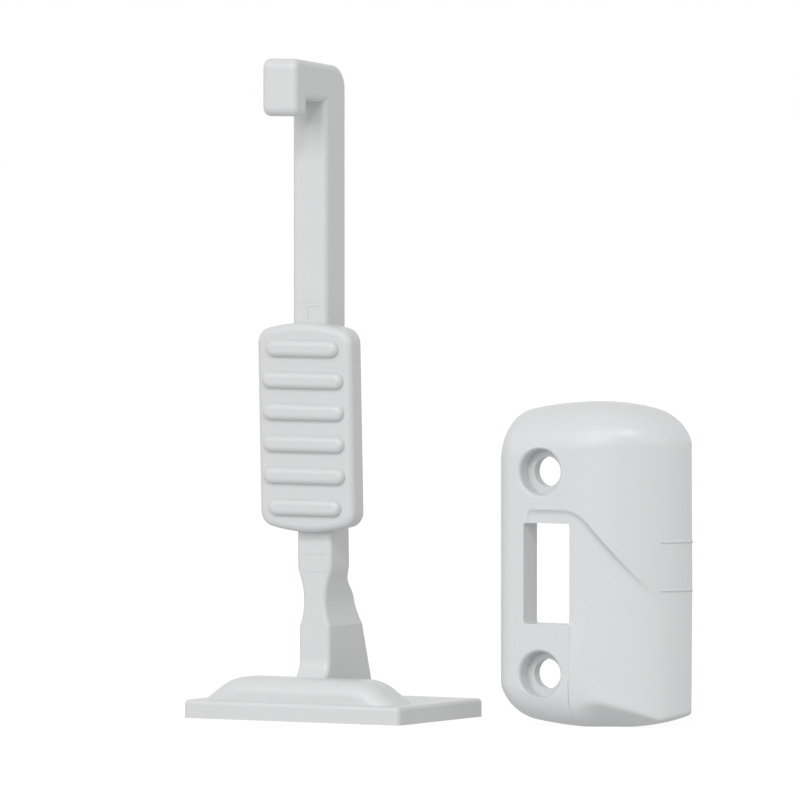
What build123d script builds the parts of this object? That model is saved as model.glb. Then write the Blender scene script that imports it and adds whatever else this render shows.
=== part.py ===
# Child safety drawer lock: a flexible latch with a hook, and the catch that it drops into.
# Millimetres, +Z up, both faces look along -Y.
# The origin is the centre of the latch's base underside.

from build123d import *

import os
from math import acos, asin, cos, radians, sin, sqrt

# Base plate of the latch
plate_width = 37.4
plate_depth = 25.6
plate_thickness = 2.75
plate_corner_radius = 0.9
plate_edge_radius = 0.6

# Rounded ridge that stiffens the plate in front of the neck
ridge_front = -11.4
ridge_depth = 8.0
ridge_top = 6.3
ridge_crest_half = 9.5
ridge_shoulder_radius = 7.0
ridge_end_slope = 35.0
ridge_foot_half = 17.0
ridge_foot_height = 0.5
ridge_edge_radius = 2.4

# Neck, the part that bends
neck_front = -5.87
neck_top_half = 3.0
neck_waist_half = 1.95
neck_root_half = 2.67
neck_pinch_top = 22.4
neck_waist_height = 18.0
neck_pinch_bottom = 14.0
neck_pinch_top_radius = 5.0
neck_pinch_bottom_radius = 1.2
neck_edge_radius = 0.7
neck_flare_height = 2.7
neck_flare_reach = 2.6
neck_flare_sink = 0.5
buttress_root_back = 7.6
buttress_head_back = 2.75
buttress_head_height = 17.8
neck_back = -0.45
neck_back_height = 22.4

# Arm, which carries on from the neck behind the pad
arm_half = 3.0
arm_foot = 43.8
arm_front = -7.3
arm_back = -1.1
arm_edge_radius = 0.95

# Hook at the top of the arm
hook_front = -16.25
hook_top = 99.3
hook_back_drop = 1.2
hook_back_radius = 3.6
hook_underside = 92.9
hook_underside_drop = 0.35
lip_bottom = 90.55
lip_thickness = 3.6
lip_corner_radius = 1.0
hook_nose_radius = 1.4

# Ribbed finger pad
pad_half_width = 8.15
pad_centre_height = 43.8
pad_side_height = 28.8
pad_arch_rise = 1.3
pad_thickness = 3.65
pad_centre_front = -8.7
pad_lean = 2.0
pad_corner_radius = 2.4
pad_front_edge_radius = 1.1
pad_back_edge_radius = 0.6

# Grip ribs
rib_count = 6
rib_pitch = 4.77
rib_height = 2.5
rib_length = 13.9
rib_end_length = 12.4
rib_protrusion = 0.95
rib_edge_radius = 0.85
rib_root = 0.5

# Catch shell, measured from its own left edge, face and underside
catch_left = 30.8
catch_front = -5.5
catch_width = 28.6
catch_depth = 9.3
catch_height = 48.3
catch_flat_width = 13.4
catch_crown_x = 14.2
catch_left_top = 46.3
catch_right_top = 45.7
catch_foot_arc_radius = 29.0
catch_foot_flat_start = 15.0
catch_foot_flat_end = 21.8
catch_foot_corner_radius = 4.5
catch_foot_rise = 1.7
catch_top_radius = 7.0
catch_edge_radius = 3.0

# Hollow behind the catch's face
shell_left_wall = 1.8
shell_face_wall = 4.1
shell_curve_wall = 2.6
shell_end_wall = 2.0
shell_top_wall = 5.8

# Slot that takes the hook
slot_left = 5.1
slot_right = 12.65
slot_bottom = 15.35
slot_top = 30.35
slot_corner_radius = 0.35

# Counterbored screw holes above and below the slot
hole_x = 7.8
hole_low = 7.85
hole_spacing = 30.1
hole_radius = 2.25
counterbore_radius = 3.4
counterbore_depth = 2.5
counterbore_mouth_radius = 0.5
counterbore_mouth_depth = 0.47

# Guide recess that steers the hook into the slot
recess_left = 5.6
recess_top = 32.65
recess_step = 0.4
recess_floor_angle = 15.5
recess_blend_radius = 10.0
recess_wall_draft = 50.0
recess_lead = 0.3
recess_reach = 5.5
recess_corner_radius = 0.9
recess_turn_x = 14.1
recess_turn_radius = 2.0
recess_slant_x = 21.0
recess_slant_z = 27.0
recess_end_x = 30.2
recess_end_z = 23.25
recess_outer_margin = 8.0

# Run-on ramp under the recess
ramp_top = 5.6
ramp_back = 6.6

# Two short moulded marks on the catch's curved side
mark_heights = (20.65, 27.85)
mark_thickness = 0.35
mark_stand_out = 0.16
mark_start_angle = 44.0
mark_sweep = 17.0

# Radius of the arc that leaves the flat face level and ends at the catch's width and depth
catch_curve_run = catch_width - catch_flat_width
catch_curve_radius = (catch_curve_run**2 + catch_depth**2) / (2 * catch_depth)

face_plane = Plane(origin=(catch_left, catch_front, 0), x_dir=(1, 0, 0), z_dir=(0, -1, 0))
plan_plane = Plane(origin=(catch_left, catch_front, 0), x_dir=(1, 0, 0), z_dir=(0, 0, 1))
side_plane = Plane(origin=(catch_left, catch_front, 0), x_dir=(0, 1, 0), z_dir=(1, 0, 0))
pad_plane = Plane(
    origin=(0, pad_centre_front, pad_centre_height), x_dir=(1, 0, 0), z_dir=(0, -1, 0)
).rotated((pad_lean, 0, 0))

os.makedirs("parts", exist_ok=True)

# Ridge across the plate, with its ends rounded down to the plate
with BuildPart() as ridge:
    with BuildSketch(Plane.XZ.offset(-ridge_front)):
        with BuildLine():
            crest = Line((0, ridge_top), (ridge_crest_half, ridge_top))
            shoulder = JernArc(crest @ 1, (1, 0), ridge_shoulder_radius, -ridge_end_slope)
            end_slope = PolarLine(shoulder @ 1, 2 * ridge_top, -ridge_end_slope)
            Line(end_slope @ 1, (0, (end_slope @ 1).Y))
            mirror(about=Plane.YZ)
        make_face()
    extrude(amount=-ridge_depth)
    lowest = ridge.edges().sort_by(Axis.Z)[0].center().Z
    fillet(ridge.edges().filter_by(lambda e: e.center().Z > lowest + 0.1), ridge_edge_radius)
    with BuildSketch(Plane.XY.offset(ridge_foot_height)):
        Rectangle(2 * ridge_foot_half, plate_depth)
    extrude(amount=ridge_top, mode=Mode.INTERSECT)

# The neck, its side outline cut to the width that it has seen from the front
with BuildPart() as neck:
    with BuildSketch(Plane.YZ):
        with BuildLine():
            foot = Line((buttress_root_back, 0.5), (buttress_root_back, plate_thickness))
            buttress = Line(foot @ 1, (buttress_head_back, buttress_head_height))
            swell = Spline(
                buttress @ 1,
                (neck_back, neck_back_height),
                tangents=[buttress % 1, (-0.1, 1)],
            )
            back = Line(swell @ 1, (arm_back, arm_foot))
            head = Line(back @ 1, (neck_front, arm_foot))
            front = Line(head @ 1, (neck_front, ridge_top + neck_flare_height))
            flare = TangentArc(
                front @ 1,
                (neck_front - neck_flare_reach, ridge_top - neck_flare_sink),
                tangent=(0, -1),
            )
            Polyline(flare @ 1, (neck_front - neck_flare_reach, 0.5), foot @ 0)
        make_face()
    extrude(amount=neck_top_half, both=True)
    with BuildSketch(Plane.XZ):
        with BuildLine():
            root = Line((neck_root_half, 0), (neck_root_half, neck_pinch_bottom))
            pinch = ThreePointArc(
                root @ 1,
                (neck_waist_half, neck_waist_height),
                (neck_top_half, neck_pinch_top),
            )
            side = Line(pinch @ 1, (neck_top_half, arm_foot))
            Line(side @ 1, (0, arm_foot))
            mirror(about=Plane.YZ)
            Line((-neck_root_half, 0), (neck_root_half, 0))
        seen_width = make_face()
        pinch_tops = seen_width.vertices().filter_by(lambda v: abs(v.Y - neck_pinch_top) < 0.1)
        pinch_feet = seen_width.vertices().filter_by(lambda v: abs(v.Y - neck_pinch_bottom) < 0.1)
        fillet(pinch_tops, neck_pinch_top_radius)
        fillet(pinch_feet, neck_pinch_bottom_radius)
    extrude(amount=60, both=True, mode=Mode.INTERSECT)
    front_edges = neck.edges().filter_by(
        lambda e: abs(e.center().X) > 1.5
        and e.center().Y < neck_front + 0.05
        and e.center().Z > ridge_top
    )
    fillet(front_edges, neck_edge_radius)


def grip_rib(height, length):
    """One pill-shaped rib, lying across the finger pad at a height from the pad's centre."""
    with BuildPart() as rib:
        with BuildSketch(pad_plane.offset(-rib_root)):
            with Locations((0, height)):
                SlotOverall(length, rib_height)
        extrude(amount=rib_root + rib_protrusion)
        fillet(rib.faces().sort_by(Axis.Y)[0].edges(), rib_edge_radius)
    return rib.part


ribs = []
for index in range(rib_count):
    at_end = index in (0, rib_count - 1)
    height_on_pad = (index - (rib_count - 1) / 2) * rib_pitch
    ribs.append(grip_rib(height_on_pad, rib_end_length if at_end else rib_length))

# Finger pad with its grip ribs, leaning forwards at its top
with BuildPart() as pad:
    with BuildSketch(pad_plane):
        with BuildLine():
            half = pad_side_height / 2
            right = Line((pad_half_width, -half), (pad_half_width, half))
            ThreePointArc(right @ 1, (0, half + pad_arch_rise), (-pad_half_width, half))
            left = Line((-pad_half_width, half), (-pad_half_width, -half))
            ThreePointArc(left @ 1, (0, -half - pad_arch_rise), right @ 0)
        outline = make_face()
        fillet(outline.vertices(), pad_corner_radius)
    extrude(amount=-pad_thickness)
    faces = pad.faces().sort_by(Axis.Y)
    fillet(faces[0].edges(), pad_front_edge_radius)
    fillet(pad.faces().sort_by(Axis.Y)[-1].edges(), pad_back_edge_radius)
    add(ribs)

with BuildPart() as latch:
    # Arm and hook, a square bar bent forwards at its top
    with BuildSketch(Plane.YZ):
        with BuildLine():
            back = Line((arm_back, arm_foot), (arm_back, hook_top - hook_back_drop - hook_back_radius))
            shoulder = RadiusArc(
                back @ 1,
                (arm_back - hook_back_radius, hook_top - hook_back_drop),
                -hook_back_radius,
            )
            lip_back = hook_front + lip_thickness
            Polyline(
                shoulder @ 1,
                (hook_front, hook_top),
                (hook_front, lip_bottom),
                (lip_back, lip_bottom),
                (lip_back, hook_underside),
                (arm_front, hook_underside - hook_underside_drop),
                (arm_front, arm_foot),
                back @ 0,
            )
        profile = make_face()
        nose = profile.vertices().filter_by(lambda v: v.X < hook_front + 0.1)
        fillet(nose, hook_nose_radius)
        lip_corner = profile.vertices().filter_by(
            lambda v: abs(v.X - lip_back) < 0.1 and v.Y < lip_bottom + 0.1
        )
        fillet(lip_corner, lip_corner_radius)
    extrude(amount=arm_half, both=True)
    long_edges = latch.edges().filter_by(lambda e: abs(abs(e.center().X) - arm_half) < 0.01)
    fillet(long_edges.filter_by(lambda e: e.center().Z > arm_foot + 0.1), arm_edge_radius)
    add(neck.part)

    # Base plate
    with BuildSketch(Plane.XY):
        RectangleRounded(plate_width, plate_depth, plate_corner_radius)
    extrude(amount=plate_thickness)
    top_face_edges = latch.edges().filter_by(lambda e: abs(e.center().Z - plate_thickness) < 0.01)
    fillet(top_face_edges.filter_by(lambda e: abs(e.center().X) > 3), plate_edge_radius)

    add(ridge.part)
    add(pad.part)

latch.part.label = "latch"
export_step(latch.part, "parts/latch.step")

# Front outline of the catch: crowned top, and a foot that curves up to its left
with BuildSketch(face_plane) as front_outline:
    with BuildLine():
        crown = ThreePointArc(
            (0, catch_left_top),
            (catch_crown_x, catch_height),
            (catch_width, catch_right_top),
        )
        right = Line(crown @ 1, (catch_width, catch_foot_rise))
        TangentArc((catch_foot_flat_end, 0), right @ 1, tangent=(1, 0))
        foot = Line((catch_foot_flat_end, 0), (catch_foot_flat_start, 0))
        foot_arc_rise = catch_foot_arc_radius - sqrt(
            catch_foot_arc_radius**2 - catch_foot_flat_start**2
        )
        foot_arc = TangentArc(foot @ 1, (0, foot_arc_rise), tangent=(-1, 0))
        Line(foot_arc @ 1, crown @ 0)
    make_face()
    foot_corner = front_outline.vertices().sort_by(lambda v: v.X + v.Y)[0]
    fillet(foot_corner, catch_foot_corner_radius)

with BuildSketch(face_plane) as inner_outline:
    add(front_outline.sketch_local)
    offset(amount=-shell_left_wall, mode=Mode.REPLACE)

# Hollow behind the catch's face, open at the back
with BuildPart() as hollow:
    with BuildSketch(plan_plane.offset(shell_end_wall)):
        with BuildLine():
            curve_radius = catch_curve_radius - shell_curve_wall
            front_angle = acos((catch_curve_radius - shell_face_wall) / curve_radius)
            back_angle = acos((catch_curve_radius - catch_depth) / curve_radius)
            middle_angle = (front_angle + back_angle) / 2
            bend = [
                (
                    catch_flat_width + curve_radius * sin(angle),
                    catch_curve_radius - curve_radius * cos(angle),
                )
                for angle in (front_angle, middle_angle, back_angle)
            ]
            curve = ThreePointArc(*bend)
            Polyline(
                curve @ 1,
                (shell_left_wall, catch_depth),
                (shell_left_wall, shell_face_wall),
                curve @ 0,
            )
        make_face()
    extrude(amount=catch_height - shell_top_wall - shell_end_wall)
    extrude(inner_outline.sketch, amount=-2 * catch_depth, mode=Mode.INTERSECT)

# Pocket in front of the guide recess: sloping walls, and a floor that blends into the curved side
floor_angle = radians(recess_floor_angle)
floor_level = catch_curve_radius - recess_step
along_start = floor_level * sin(floor_angle)
centre_above = floor_level * cos(floor_angle)
blend_gap = catch_curve_radius - recess_blend_radius
along_blend = sqrt(blend_gap**2 - (centre_above - recess_blend_radius) ** 2)
merge_angle = floor_angle + asin(along_blend / blend_gap)
merge_point = (
    catch_flat_width + (catch_curve_radius + 0.02) * sin(merge_angle),
    catch_curve_radius - (catch_curve_radius + 0.02) * cos(merge_angle),
)

with BuildPart() as recess:
    with BuildSketch(face_plane.offset(recess_lead)):
        with BuildLine():
            far_x = catch_width + recess_outer_margin
            top_line = Line((recess_left, recess_top), (recess_turn_x, recess_top))
            slant = ThreePointArc(
                top_line @ 1,
                (recess_slant_x, recess_slant_z),
                (recess_end_x, recess_end_z),
            )
            Polyline(
                slant @ 1,
                (far_x, (slant @ 1).Y),
                (far_x, -recess_outer_margin),
                (recess_left, -recess_outer_margin),
                top_line @ 0,
            )
        make_face()
    extrude(amount=-(recess_reach + recess_lead), taper=recess_wall_draft)
    for corner, radius in ((1, recess_turn_radius), (0, recess_corner_radius)):
        inward = recess.edges().filter_by(lambda e: abs(e.tangent_at(0.5).Y) > 0.4)
        upper = inward.filter_by(lambda e: e.center().Z > slot_bottom)
        fillet(upper.sort_by(Axis.X)[corner], radius)
    with BuildSketch(plan_plane.offset(-2 * recess_outer_margin)):
        with BuildLine():
            level = Line((0, recess_step), (catch_flat_width, recess_step))
            fall = PolarLine(level @ 1, along_start + along_blend, recess_floor_angle)
            blend = TangentArc(fall @ 1, merge_point, tangent=fall % 1)
            Polyline(blend @ 1, (merge_point[0], -2), (0, -2), level @ 0)
        make_face()
    extrude(amount=2 * recess_outer_margin + recess_top + 1, mode=Mode.INTERSECT)
    # The face left of the slot and below its foot stays whole
    with BuildSketch(plan_plane.offset(-2 * recess_outer_margin)):
        Rectangle(slot_right, 4, align=(Align.MIN, Align.CENTER))
    extrude(amount=2 * recess_outer_margin + slot_bottom + 1, mode=Mode.SUBTRACT)

# Ramp under the recess that lifts the hook onto it
with BuildPart() as ramp:
    with BuildSketch(side_plane.offset(slot_right)):
        with BuildLine():
            round_up = ThreePointArc(
                (-0.01, ramp_top),
                (ramp_back * 0.27, ramp_top * 0.30),
                (ramp_back, -0.01),
            )
            Polyline(round_up @ 1, (-3, -0.01), (-3, ramp_top), round_up @ 0)
        make_face()
    extrude(amount=catch_width)

# One counterbored screw hole with a rounded mouth, turned about its own axis
with BuildPart() as screw_hole:
    with BuildSketch(Plane.XY):
        with BuildLine():
            mouth = JernArc(
                (counterbore_radius, counterbore_mouth_depth), (0, -1), counterbore_mouth_radius, 80
            )
            Polyline(
                mouth @ 1,
                ((mouth @ 1).X, -1),
                (0, -1),
                (0, catch_depth + 1),
                (hole_radius, catch_depth + 1),
                (hole_radius, counterbore_depth),
                (counterbore_radius, counterbore_depth),
                mouth @ 0,
            )
        make_face()
    revolve(axis=Axis.Y)

with BuildPart() as catch:
    # Block: front outline, cut to the plan with its curved side
    extrude(front_outline.sketch, amount=-catch_depth)
    with BuildSketch(plan_plane):
        with BuildLine():
            face_line = Line((0, 0), (catch_flat_width, 0))
            side_curve = TangentArc(
                face_line @ 1,
                (catch_width, catch_depth),
                tangent=(1, 0),
            )
            Polyline(side_curve @ 1, (0, catch_depth), (0, 0))
        make_face()
    extrude(amount=catch_height + 1, mode=Mode.INTERSECT)
    front_edges = catch.edges().filter_by(lambda e: e.center().Y < catch_front + 3.0)
    fillet(front_edges.filter_by(lambda e: e.center().Z > catch_height - 3.0), catch_top_radius)
    left_edges = catch.edges().filter_by(lambda e: e.center().X < catch_left + 0.1)
    left_edges = left_edges.filter_by(lambda e: e.center().Y < catch_front + catch_depth - 0.1)
    fillet(left_edges.filter_by(lambda e: e.center().Z > catch_height / 4), catch_edge_radius)
    add(hollow.part, mode=Mode.SUBTRACT)
    add(recess.part, mode=Mode.SUBTRACT)
    add(ramp.part, mode=Mode.SUBTRACT)

    # Slot for the hook
    with BuildSketch(face_plane):
        with Locations(((slot_left + slot_right) / 2, (slot_bottom + slot_top) / 2)):
            RectangleRounded(slot_right - slot_left, slot_top - slot_bottom, slot_corner_radius)
    extrude(amount=-catch_depth, mode=Mode.SUBTRACT)

    # Screw holes
    for height in (hole_low, hole_low + hole_spacing):
        with Locations((hole_x + catch_left, catch_front, height)):
            add(screw_hole.part, mode=Mode.SUBTRACT)

    # Two short moulded marks
    for height in mark_heights:
        with BuildSketch(plan_plane.offset(height - mark_thickness / 2)):
            with BuildLine():
                middle = (catch_flat_width, catch_curve_radius)
                inner = CenterArc(middle, catch_curve_radius - 1.0, -90 + mark_start_angle, mark_sweep)
                outer = CenterArc(
                    middle, catch_curve_radius + mark_stand_out, -90 + mark_start_angle, mark_sweep
                )
                Line(inner @ 0, outer @ 0)
                Line(inner @ 1, outer @ 1)
            make_face()
        extrude(amount=mark_thickness)

catch.part.label = "catch"
export_step(catch.part, "parts/catch.step")
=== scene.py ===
import math

import bmesh
import bpy
import numpy as np
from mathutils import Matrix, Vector


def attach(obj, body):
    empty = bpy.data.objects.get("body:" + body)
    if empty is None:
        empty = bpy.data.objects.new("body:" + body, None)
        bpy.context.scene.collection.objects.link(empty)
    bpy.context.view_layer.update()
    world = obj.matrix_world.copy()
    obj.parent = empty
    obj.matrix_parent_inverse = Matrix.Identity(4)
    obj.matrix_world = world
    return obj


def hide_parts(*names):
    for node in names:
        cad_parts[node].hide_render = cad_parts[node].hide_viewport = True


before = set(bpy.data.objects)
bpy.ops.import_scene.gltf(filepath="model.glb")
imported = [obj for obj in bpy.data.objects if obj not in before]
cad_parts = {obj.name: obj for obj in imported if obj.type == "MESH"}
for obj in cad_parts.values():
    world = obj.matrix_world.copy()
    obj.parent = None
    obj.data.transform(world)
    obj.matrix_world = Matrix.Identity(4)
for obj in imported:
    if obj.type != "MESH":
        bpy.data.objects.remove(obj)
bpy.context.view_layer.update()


# Latch
# One injection moulding in white polypropylene: base plate, ridge, neck, ribbed pad, arm and hook.
# Its satin skin is the mould's fine spark-eroded grain, with a faint orange peel under it.
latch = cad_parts["latch"]
latch_colour = (0.64, 0.65, 0.653)
latch_roughness = 0.35
latch_grain_size = 0.0005
latch_seed = 1.0
colour_range = (0.985, 1.01)
roughness_range = 0.03


def moulded_plastic(name, colour, roughness, grain_size, seed):
    """A satin moulded plastic: even colour with slight cloudiness, fine grain and orange peel."""
    material = bpy.data.materials.new(name)
    material.use_nodes = True
    nodes = material.node_tree.nodes
    links = material.node_tree.links
    shader = nodes["Principled BSDF"]
    shader.inputs["IOR"].default_value = 1.49
    shader.inputs["Specular IOR Level"].default_value = 0.5

    place = nodes.new("ShaderNodeTexCoord")
    shift = nodes.new("ShaderNodeMapping")
    shift.inputs["Location"].default_value = (seed, 0.37 * seed, 0.71 * seed)
    links.new(place.outputs["Object"], shift.inputs["Vector"])

    cloud = nodes.new("ShaderNodeTexNoise")
    cloud.inputs["Scale"].default_value = 90.0
    cloud.inputs["Detail"].default_value = 3.0
    links.new(shift.outputs["Vector"], cloud.inputs["Vector"])
    tint = nodes.new("ShaderNodeMix")
    tint.data_type = "RGBA"
    for end, share in zip("AB", colour_range):
        tint.inputs[end].default_value = (*[min(1.0, share * c) for c in colour], 1.0)
    links.new(cloud.outputs["Fac"], tint.inputs["Factor"])
    links.new(tint.outputs["Result"], shader.inputs["Base Color"])

    gloss = nodes.new("ShaderNodeMapRange")
    gloss.inputs["To Min"].default_value = roughness - roughness_range
    gloss.inputs["To Max"].default_value = roughness + roughness_range
    links.new(cloud.outputs["Fac"], gloss.inputs["Value"])
    links.new(gloss.outputs["Result"], shader.inputs["Roughness"])

    grain = nodes.new("ShaderNodeTexNoise")
    grain.inputs["Scale"].default_value = 1.0 / grain_size
    grain.inputs["Detail"].default_value = 2.0
    links.new(shift.outputs["Vector"], grain.inputs["Vector"])
    fine = nodes.new("ShaderNodeBump")
    fine.inputs["Strength"].default_value = 0.12
    fine.inputs["Distance"].default_value = 0.00006
    links.new(grain.outputs["Fac"], fine.inputs["Height"])
    peel = nodes.new("ShaderNodeBump")
    peel.inputs["Strength"].default_value = 0.2
    peel.inputs["Distance"].default_value = 0.0001
    links.new(cloud.outputs["Fac"], peel.inputs["Height"])
    links.new(fine.outputs["Normal"], peel.inputs["Normal"])
    links.new(peel.outputs["Normal"], shader.inputs["Normal"])
    return material


def dress(piece, material):
    """Give a piece one material all over."""
    for slot in piece.material_slots:
        slot.material = material
    if not piece.material_slots:
        piece.data.materials.append(material)


latch_plastic = moulded_plastic(
    "latch_polypropylene", latch_colour, latch_roughness, latch_grain_size, latch_seed
)
dress(latch, latch_plastic)


# Insert lines of the latch
# Fine raised lines of the same plastic, left where the mould's inserts meet,
# on the front of the arm and of the neck. Sizes are in millimetres.
arm_front = -7.3
neck_front = -5.87
line_width = 0.13
line_proud = 0.05
line_root = 0.2
insert_lines = [
    (-2.1, 1.9, 62.6, 62.6 + line_width, arm_front),
    (-0.2, 1.9, 62.0, 62.0 + line_width, arm_front),
    (-0.25, -0.25 + line_width, 59.9, 62.0, arm_front),
    (-1.8, 2.1, 24.75, 24.75 + line_width, neck_front),
    (-1.9, 2.1, 22.15, 22.15 + line_width, neck_front),
]
bar_faces = [
    (0, 1, 2, 3), (7, 6, 5, 4), (0, 4, 5, 1), (1, 5, 6, 2), (2, 6, 7, 3), (3, 7, 4, 0)
]


def mesh_piece(name, points, faces):
    """A piece meshed from points in millimetres."""
    mesh = bpy.data.meshes.new(name)
    mesh.from_pydata([(0.001 * x, 0.001 * y, 0.001 * z) for x, y, z in points], [], faces)
    mesh.update()
    piece = bpy.data.objects.new(name, mesh)
    bpy.context.scene.collection.objects.link(piece)
    return piece


line_points = []
line_faces = []
for x0, x1, z0, z1, face in insert_lines:
    start = len(line_points)
    for y in (face + line_root, face - line_proud):
        line_points += [(x0, y, z0), (x1, y, z0), (x1, y, z1), (x0, y, z1)]
    line_faces += [tuple(start + corner for corner in corners) for corners in bar_faces]
lines = mesh_piece("latch_insert_lines", line_points, line_faces)
dress(lines, latch_plastic)
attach(lines, "root")


# Catch
# A hollow injection moulding in the same plastic, screwed to the cabinet through its flat face.
# This finer skin stands in for the solid catch: its guide step fades into the curved side, and
# a scooped ramp at its foot lifts the hook. Sizes are millimetres from its lower left front.
catch_place = (0.0308, -0.0055, 0.0)
catch_colour = (0.64, 0.655, 0.66)
catch_roughness = 0.33
catch_grain_size = 0.0004
catch_seed = 5.0
sharp_angle = math.radians(28.0)

catch_width = 28.6
catch_depth = 9.3
flat_width = 13.4
side_radius = 17.07
mid_height = 22.0

crown_x = 14.2
crown_top = 48.307
crown_bow_left = 0.00992
crown_bow_right = 0.01254
top_radius = 7.0
top_radius_fall = 2.8

edge_radius = 3.0
foot_edge_radius = 5.2
foot_flat = (15.0, 17.5)
foot_spread_left = 120.0
foot_spread_right = 58.0
foot_corner_growth = 1.8
foot_corner_top = 6.0
foot_corner_height = 5.0
ramp_foot_radius = 0.6

slot_left = 5.1
slot_right = 12.65
slot_bottom = 15.35
slot_top = 30.35
slot_corner_radius = 0.35

hollow_left = 1.8
hollow_foot = 1.9
hollow_top = 42.5
hollow_front = 4.1
hollow_corner_radius = 2.7
side_wall = 2.6

guide_floor_slope = 0.31
guide_floor_start = 0.1
guide_floor_blend = 2.0
guide_shallow_share = 0.6
guide_shallow_width = 2.9
guide_shallow_bottom = 11.0
guide_shallow_height = 6.0
guide_left = 5.6
guide_top = 32.35
guide_slant_from = (15.5, 30.7)
guide_slant_fall = 1.13
guide_slant_length = 1.509
guide_turn_radius = 1.7
guide_start_radius = 0.9
cove_radius = 1.15
low_cove_radius = 0.8

ramp_depth = 7.4
ramp_height = 6.0
ramp_power = 1.7
ramp_fade_width = 5.0
ramp_start_depth = 0.15
ramp_blend = 0.6
ramp_blend_top = 7.0
ramp_blend_height = 2.0

hole_centres = ((7.8, 7.85), (7.8, 37.95))
screw_radius = 2.25
head_radius = 3.4
head_depth = 2.5
mouth_radius = 0.6
mouth_depth = 0.56
mouth_turn = 80.0
mouth_steps = 8
hole_sides = 96
tool_front = -1.0
tool_back = 11.0


def rounded(first, second, radius):
    """Field of the body inside both fields, with their common edge rounded."""
    corner = np.hypot(np.maximum(first + radius, 0.0), np.maximum(second + radius, 0.0))
    return np.minimum(np.maximum(first, second), -radius) + corner


def side_field(x, y, radius):
    """Distance outside the plan: a flat face that turns into a circular side."""
    around = np.hypot(x - flat_width, side_radius - y) - radius
    return np.where(x < flat_width, side_radius - radius - y, around)


def foot_height(x):
    """How far the foot's edge has risen, to the left and right of its level middle."""
    left = np.maximum(foot_flat[0] - x, 0.0)
    right = np.maximum(x - foot_flat[1], 0.0)
    return left**2 / foot_spread_left + right**2 / foot_spread_right


def crown_height(x):
    """Height of the bowed top."""
    bow = np.where(x < crown_x, crown_bow_left, crown_bow_right)
    return crown_top - bow * (x - crown_x) ** 2


def block_field(x, y, z):
    """Outer body: rounded all round on the left, and with a sharp foot over the ramp."""
    crown_edge = top_radius - top_radius_fall * np.clip((x - crown_x) / crown_x, 0.0, 1.0)
    body = rounded(side_field(x, y, side_radius), z - crown_height(x), crown_edge)
    foot = foot_height(x) - z
    near_foot = np.clip((foot_corner_top - z) / foot_corner_height, 0.0, 1.0)
    left_edge = edge_radius + foot_corner_growth * near_foot
    rounded_foot = rounded(rounded(body, foot, foot_edge_radius), -x, left_edge)
    sharp_foot = rounded(body, foot, ramp_foot_radius)
    return np.where(x < slot_right, rounded_foot, sharp_foot)


def hollow_field(x, y, z):
    """Space behind the face, its curved wall parallel to the outside."""
    walls = rounded(hollow_left - x, foot_height(x) + hollow_foot - z, hollow_corner_radius)
    ends = np.maximum(walls, z - hollow_top)
    front = np.maximum(side_field(x, y, side_radius - side_wall), hollow_front - y)
    return np.maximum(front, ends)


def meeting(inside, near, far):
    """Where a field first falls to nought between near and far, found by halving."""
    for _ in range(40):
        middle = 0.5 * (near + far)
        within = inside(middle) <= 1e-6
        far = np.where(within, middle, far)
        near = np.where(within, near, middle)
    return far


def field_body(name, field, x, share, front, back):
    """Closed mesh of the part of a field before a back plane, on a grid of x and z."""
    deepest = catch_depth - 0.01
    rim = np.full_like(x, deepest)
    middle = np.full_like(x, mid_height)
    low = meeting(lambda z: field(x, rim, z), np.full_like(x, -1.0), middle)
    high = meeting(lambda z: field(x, rim, z), np.full_like(x, 50.0), middle)
    xs = np.repeat(x[:, None], len(share), 1)
    zs = low[:, None] + (high - low)[:, None] * share[None, :]
    ys = np.minimum(front(xs, zs), deepest)
    columns, rows = xs.shape
    points = np.stack([xs, ys, zs], -1).reshape(-1, 3)

    loop = [i * rows for i in range(columns)]
    loop += [(columns - 1) * rows + j for j in range(1, rows)]
    loop += [i * rows + rows - 1 for i in range(columns - 2, -1, -1)]
    loop += [j for j in range(rows - 2, 0, -1)]
    behind = points[loop].copy()
    behind[:, 1] = back
    start = len(points)

    faces = [
        (i * rows + j, (i + 1) * rows + j, (i + 1) * rows + j + 1, i * rows + j + 1)
        for i in range(columns - 1)
        for j in range(rows - 1)
    ]
    turns = range(len(loop))
    faces += [
        (loop[k], start + k, start + (k + 1) % len(loop), loop[(k + 1) % len(loop)])
        for k in turns
    ]
    faces.append(tuple(start + k for k in turns))
    return mesh_piece(name, np.concatenate([points, behind]).tolist(), faces)


def eased(start, end, count):
    """Steps from start to end that crowd together at the start."""
    return start + (end - start) * (1.0 - np.cos(np.linspace(0.0, 0.5 * math.pi, count)))


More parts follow.
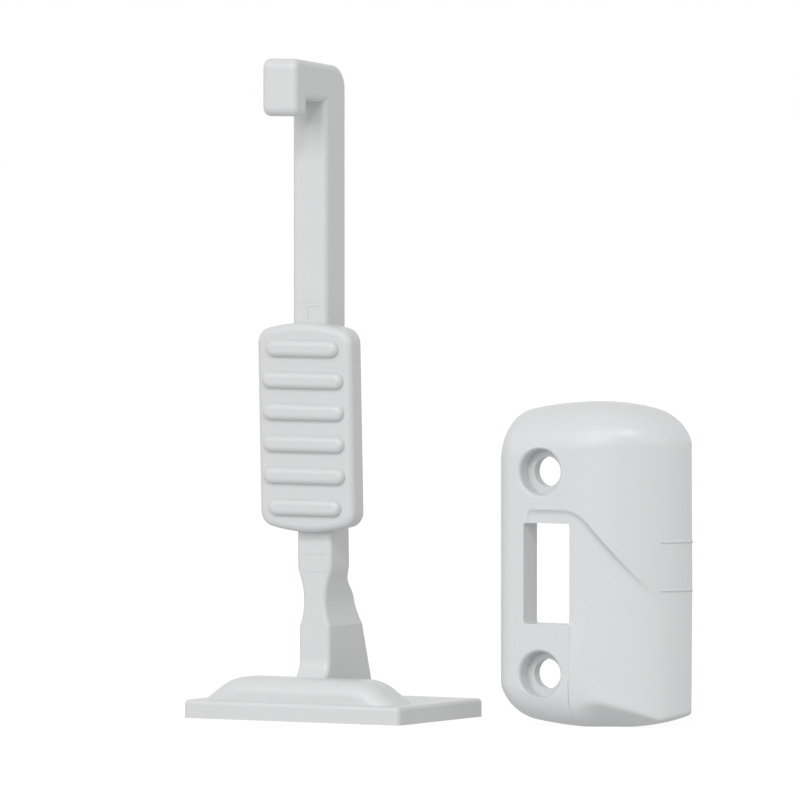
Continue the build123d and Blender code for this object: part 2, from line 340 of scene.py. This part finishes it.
def guide_depth(x, z):
    """How deep the guide recess is cut, with a coved wall along its step."""
    past_flat = np.maximum(x - flat_width, 0.0)
    plan = side_radius - np.sqrt(side_radius**2 - past_flat**2)
    floor_depth = guide_floor_slope * past_flat - guide_floor_start
    blend = np.maximum(guide_floor_blend - np.abs(floor_depth - plan), 0.0)
    step = np.maximum(floor_depth, plan) + blend**2 / (4.0 * guide_floor_blend) - plan
    from_slot = np.clip((x - slot_right) / guide_shallow_width, 0.0, 1.0)
    from_foot = np.clip((z - guide_shallow_bottom) / guide_shallow_height, 0.0, 1.0)
    step = step * (1.0 - guide_shallow_share * (1.0 - from_slot) * (1.0 - from_foot))

    beside_slot = z > slot_bottom + 0.2
    from_left = np.where(beside_slot, x - guide_left, x - slot_right)
    slant_x, slant_z = guide_slant_from
    below_slant = (slant_z - z - guide_slant_fall * (x - slant_x)) / guide_slant_length
    turn = rounded(z - guide_top, -below_slant, guide_turn_radius)
    inside = -rounded(turn, -from_left, guide_start_radius)
    inside = np.where(beside_slot, inside, np.minimum(from_left, below_slant))

    cove = np.where(beside_slot, cove_radius, low_cove_radius)
    reach = np.sqrt(np.maximum(2.0 * cove * step - step**2, 0.0))
    short = np.clip(reach - inside, 0.0, reach)
    depth = step - (cove - np.sqrt(cove**2 - short**2))
    return np.where(inside > 0.0, np.maximum(depth, 0.0), 0.0)


def ramp_front(x, z):
    """Depth of the scooped ramp at the foot, which starts from the rounded foot edge."""
    scoop = ramp_depth * np.clip(1.0 - z / ramp_height, 0.0, 1.0) ** ramp_power
    lip_fall = np.clip(foot_edge_radius - z, 0.0, foot_edge_radius)
    lip = foot_edge_radius - np.sqrt(foot_edge_radius**2 - lip_fall**2)
    fade = np.clip((x - slot_right) / ramp_fade_width, 0.0, 1.0)
    fade = fade * fade * (3.0 - 2.0 * fade)
    return lip + ramp_start_depth + (scoop - lip - ramp_start_depth) * fade


def block_front(x, z):
    """Depth of the moulded front: outer body, guide recess and ramp."""
    outer = meeting(
        lambda y: block_field(x, y, z), np.full_like(x, -0.5), np.full_like(x, catch_depth)
    )
    front = outer + guide_depth(x, z)
    ramp = ramp_front(x, z)
    easing = np.maximum(ramp_blend - np.abs(front - ramp), 0.0)
    easing = easing * np.clip((ramp_blend_top - z) / ramp_blend_height, 0.0, 1.0)
    ramped = np.maximum(front, ramp) + easing**2 / (4.0 * ramp_blend)
    return np.where((x > slot_right) & (z < ramp_blend_top), ramped, front)


def hollow_face(x, z):
    """Depth at which the hollow starts behind the face and the curved side."""
    start = meeting(
        lambda y: side_field(x, y, side_radius - side_wall),
        np.full_like(x, 0.0),
        np.full_like(x, catch_depth),
    )
    return start.clip(hollow_front, None)


def turned(name, profile, centre, count):
    """Closed body turned about an axis that runs from front to back."""
    corners = [
        (centre[0] + r * math.cos(a), y, centre[1] + r * math.sin(a))
        for a in [2.0 * math.pi * k / count for k in range(count)]
        for r, y in profile
    ]
    size = len(profile)
    faces = []
    for k in range(count):
        here = k * size
        after = (k + 1) % count * size
        faces += [(here + j, here + j + 1, after + j + 1, after + j) for j in range(size - 1)]
    faces.append(tuple(k * size for k in range(count)))
    faces.append(tuple(k * size + size - 1 for k in reversed(range(count))))
    return mesh_piece(name, corners, faces)


def carve(piece, tool):
    """Take a tool away from a piece and drop the tool."""
    for body in (piece, tool):
        shape = bmesh.new()
        shape.from_mesh(body.data)
        bmesh.ops.recalc_face_normals(shape, faces=shape.faces)
        shape.to_mesh(body.data)
        shape.free()
    cut = piece.modifiers.new("cut", "BOOLEAN")
    cut.operation = "DIFFERENCE"
    cut.solver = "EXACT"
    cut.object = tool
    graph = bpy.context.evaluated_depsgraph_get()
    carved = bpy.data.meshes.new_from_object(piece.evaluated_get(graph))
    piece.modifiers.remove(cut)
    piece.data = carved
    bpy.data.objects.remove(tool)


# The shell's grid is finest at its rounded edges and has two columns close by the slot's right side.
left_step = 0.24
right_step = 0.22
foot_share = 0.07
top_share = 0.145
columns = np.concatenate(
    [
        eased(0.002, edge_radius, 16)[:-1],
        np.arange(edge_radius, slot_right - 0.03, left_step),
        [slot_right - 0.01, slot_right + 0.01],
        np.arange(slot_right + 0.2, catch_width - 0.1, right_step),
        [catch_width - 0.001],
    ]
)
rows = np.concatenate(
    [
        eased(0.0, foot_share, 16)[:-1],
        np.linspace(foot_share, 1.0 - top_share, 160),
        1.0 - eased(0.0, top_share, 26)[::-1][1:],
    ]
)
catch = field_body("catch_shell", block_field, columns, rows, block_front, catch_depth)

hollow_turn = 5.0
hollow_reach = math.sqrt((side_radius - side_wall) ** 2 - (side_radius - catch_depth) ** 2)
hollow_columns = np.concatenate(
    [
        eased(hollow_left + 0.002, hollow_turn, 14)[:-1],
        np.linspace(hollow_turn, flat_width + hollow_reach - 0.03, 50),
    ]
)
hollow_rows = np.linspace(0.0, 1.0, 8)
hollow = field_body(
    "hollow", hollow_field, hollow_columns, hollow_rows, hollow_face, catch_depth + 1.0
)
carve(catch, hollow)

mouth = []
for k in range(mouth_steps + 1):
    a = math.radians(mouth_turn * k / mouth_steps)
    mouth.append(
        (head_radius + mouth_radius * (1.0 - math.cos(a)), mouth_depth - mouth_radius * math.sin(a))
    )
bore = [(screw_radius, tool_back), (screw_radius, head_depth), (head_radius, head_depth)]
bore += mouth + [(mouth[-1][0], tool_front)]
for centre in hole_centres:
    carve(catch, turned("bore", bore, centre, hole_sides))

slot_outline = []
for x, z, first in (
    (slot_right - slot_corner_radius, slot_top - slot_corner_radius, 0.0),
    (slot_left + slot_corner_radius, slot_top - slot_corner_radius, 90.0),
    (slot_left + slot_corner_radius, slot_bottom + slot_corner_radius, 180.0),
    (slot_right - slot_corner_radius, slot_bottom + slot_corner_radius, 270.0),
):
    for a in [math.radians(first + 22.5 * k) for k in range(5)]:
        slot_outline.append((x + slot_corner_radius * math.cos(a), z + slot_corner_radius * math.sin(a)))
around = len(slot_outline)
slot_faces = [tuple(range(around)), tuple(reversed(range(around, 2 * around)))]
slot_faces += [
    (k, around + k, around + (k + 1) % around, (k + 1) % around) for k in range(around)
]
slot_points = [(x, y, z) for y in (tool_front, tool_back) for x, z in slot_outline]
carve(catch, mesh_piece("slot", slot_points, slot_faces))

catch.location = catch_place
catch.data.shade_smooth()
catch.data.set_sharp_from_angle(angle=sharp_angle)
catch_plastic = moulded_plastic(
    "catch_polypropylene", catch_colour, catch_roughness, catch_grain_size, catch_seed
)
catch.data.materials.clear()
catch.data.materials.append(catch_plastic)
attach(catch, "root")
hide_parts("catch")


# Marks of the catch
# Two short raised bars of the same plastic, moulded on the catch's curved side.
# Each section point is given as millimetres out from the side and up.
mark_heights = {"catch_mark_low": 20.6, "catch_mark_high": 27.8}
mark_first_angle = 45.5
mark_sweep = 17.5
mark_steps = 24
mark_section = ((-0.5, -0.2), (0.1, -0.2), (0.17, -0.1), (0.17, 0.1), (0.1, 0.2), (-0.5, 0.2))

ring = len(mark_section)
mark_faces = []
for k in range(mark_steps):
    here = k * ring
    after = (k + 1) * ring
    mark_faces += [
        (here + j, after + j, after + (j + 1) % ring, here + (j + 1) % ring) for j in range(ring)
    ]
mark_faces.append(tuple(reversed(range(ring))))
mark_faces.append(tuple(range(mark_steps * ring, (mark_steps + 1) * ring)))

for mark_name, mark_height in mark_heights.items():
    mark_points = []
    for k in range(mark_steps + 1):
        a = math.radians(mark_first_angle + mark_sweep * k / mark_steps)
        mark_points += [
            (
                flat_width + (side_radius + out) * math.sin(a),
                side_radius - (side_radius + out) * math.cos(a),
                mark_height + up,
            )
            for out, up in mark_section
        ]
    mark = mesh_piece(mark_name, mark_points, mark_faces)
    dress(mark, catch_plastic)
    mark.location = catch_place
    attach(mark, "root")


# Stage
# A white floor that runs out to a white surround, as in a shop's cut-out picture,
# under three soft lights.
floor_half = 3000.0
floor = mesh_piece(
    "floor",
    [
        (-floor_half, -floor_half, 0.0),
        (floor_half, -floor_half, 0.0),
        (floor_half, floor_half, 0.0),
        (-floor_half, floor_half, 0.0),
    ],
    [(0, 1, 2, 3)],
)

# The floor glows more for the camera than for the light it throws on the pieces.
floor_material = bpy.data.materials.new("floor_white")
floor_material.use_nodes = True
floor_nodes = floor_material.node_tree.nodes
floor_links = floor_material.node_tree.links
floor_nodes["Principled BSDF"].inputs["Base Color"].default_value = (0.8, 0.8, 0.8, 1.0)
floor_nodes["Principled BSDF"].inputs["Roughness"].default_value = 0.9
floor_nodes["Principled BSDF"].inputs["Specular IOR Level"].default_value = 0.0
seen = floor_nodes.new("ShaderNodeLightPath")
white = floor_nodes.new("ShaderNodeEmission")
white.inputs["Color"].default_value = (1.0, 1.0, 1.0, 1.0)
glow = floor_nodes.new("ShaderNodeMapRange")
glow.inputs["To Min"].default_value = 0.6
glow.inputs["To Max"].default_value = 1.167
share = floor_nodes.new("ShaderNodeMapRange")
share.inputs["To Min"].default_value = 0.9
share.inputs["To Max"].default_value = 0.75
mixed = floor_nodes.new("ShaderNodeMixShader")
floor_links.new(seen.outputs["Is Camera Ray"], glow.inputs["Value"])
floor_links.new(seen.outputs["Is Camera Ray"], share.inputs["Value"])
floor_links.new(glow.outputs["Result"], white.inputs["Strength"])
floor_links.new(share.outputs["Result"], mixed.inputs["Fac"])
floor_links.new(floor_nodes["Principled BSDF"].outputs["BSDF"], mixed.inputs[1])
floor_links.new(white.outputs["Emission"], mixed.inputs[2])
floor_links.new(mixed.outputs["Shader"], floor_nodes["Material Output"].inputs["Surface"])
dress(floor, floor_material)

# Soft, even room light for the object, and plain white for what the camera and glossy rays see.
world = bpy.data.worlds.new("surround")
bpy.context.scene.world = world
world.use_nodes = True
world_nodes = world.node_tree.nodes
world_links = world.node_tree.links
room = world_nodes["Background"]
room.inputs["Color"].default_value = (1.0, 0.995, 0.985, 1.0)
room.inputs["Strength"].default_value = 0.6
backdrop = world_nodes.new("ShaderNodeBackground")
backdrop.inputs["Color"].default_value = (1.0, 1.0, 1.0, 1.0)
backdrop.inputs["Strength"].default_value = 1.0
world_seen = world_nodes.new("ShaderNodeLightPath")
world_mix = world_nodes.new("ShaderNodeMixShader")
seen_or_mirrored = world_nodes.new("ShaderNodeMath")
seen_or_mirrored.operation = "MAXIMUM"
world_links.new(world_seen.outputs["Is Camera Ray"], seen_or_mirrored.inputs[0])
world_links.new(world_seen.outputs["Is Glossy Ray"], seen_or_mirrored.inputs[1])
seen_through = world_nodes.new("ShaderNodeMath")
seen_through.operation = "MAXIMUM"
world_links.new(seen_or_mirrored.outputs["Value"], seen_through.inputs[0])
world_links.new(world_seen.outputs["Is Transmission Ray"], seen_through.inputs[1])
world_links.new(seen_through.outputs["Value"], world_mix.inputs["Fac"])
world_links.new(room.outputs["Background"], world_mix.inputs[1])
world_links.new(backdrop.outputs["Background"], world_mix.inputs[2])
world_links.new(world_mix.outputs["Shader"], world_nodes["World Output"].inputs["Surface"])

light_aim = Vector((0.015, 0.0, 0.05))


def softbox(name, azimuth, elevation, distance, size, power, colour):
    """A square soft light, aimed at the object from an azimuth and elevation in degrees."""
    lamp = bpy.data.lights.new(name, "AREA")
    lamp.size = size
    lamp.energy = power
    lamp.color = colour
    stand = bpy.data.objects.new(name, lamp)
    turn = math.radians(azimuth)
    lift = math.radians(elevation)
    outward = Vector(
        (math.sin(turn) * math.cos(lift), -math.cos(turn) * math.cos(lift), math.sin(lift))
    )
    stand.location = light_aim + distance * outward
    stand.rotation_euler = outward.to_track_quat("Z", "Y").to_euler()
    bpy.context.scene.collection.objects.link(stand)


softbox(
    "key_light",
    azimuth=-8.0,
    elevation=24.0,
    distance=3.0,
    size=2.0,
    power=36.0,
    colour=(0.97, 0.99, 1.0),
)
softbox(
    "fill_light",
    azimuth=62.0,
    elevation=15.0,
    distance=3.6,
    size=1.6,
    power=8.4,
    colour=(1.0, 0.995, 0.98),
)
softbox(
    "spark_light",
    azimuth=30.0,
    elevation=37.0,
    distance=2.4,
    size=0.32,
    power=8.8,
    colour=(1.0, 1.0, 1.0),
)


# Camera
# A long lens from the front right, aimed near the middle of the latch from a little above it.
# Its distance and pixel scale are the ones at which the pieces fall over the photograph.
photo_size = 800.0
sensor_width = 36.0
camera_azimuth = math.radians(30.0)
camera_pitch = math.radians(2.3)
camera_distance = 2.046
pixels_per_metre = 6660.0
aim_right = 0.0100
aim_height = 0.0477

right_way = Vector((math.cos(camera_azimuth), math.sin(camera_azimuth), 0.0))
back_way = Vector(
    (
        math.sin(camera_azimuth) * math.cos(camera_pitch),
        -math.cos(camera_azimuth) * math.cos(camera_pitch),
        math.sin(camera_pitch),
    )
)
aim = aim_right * right_way + Vector((0.0, 0.0, aim_height))
lens = bpy.data.cameras.new("camera")
lens.sensor_width = sensor_width
lens.lens = sensor_width * pixels_per_metre * camera_distance / photo_size
lens.clip_end = 50.0
camera = bpy.data.objects.new("camera", lens)
camera.location = aim + camera_distance * back_way
camera.rotation_euler = back_way.to_track_quat("Z", "Y").to_euler()
bpy.context.scene.collection.objects.link(camera)
bpy.context.scene.camera = camera
bpy.context.scene.view_settings.view_transform = "Standard"
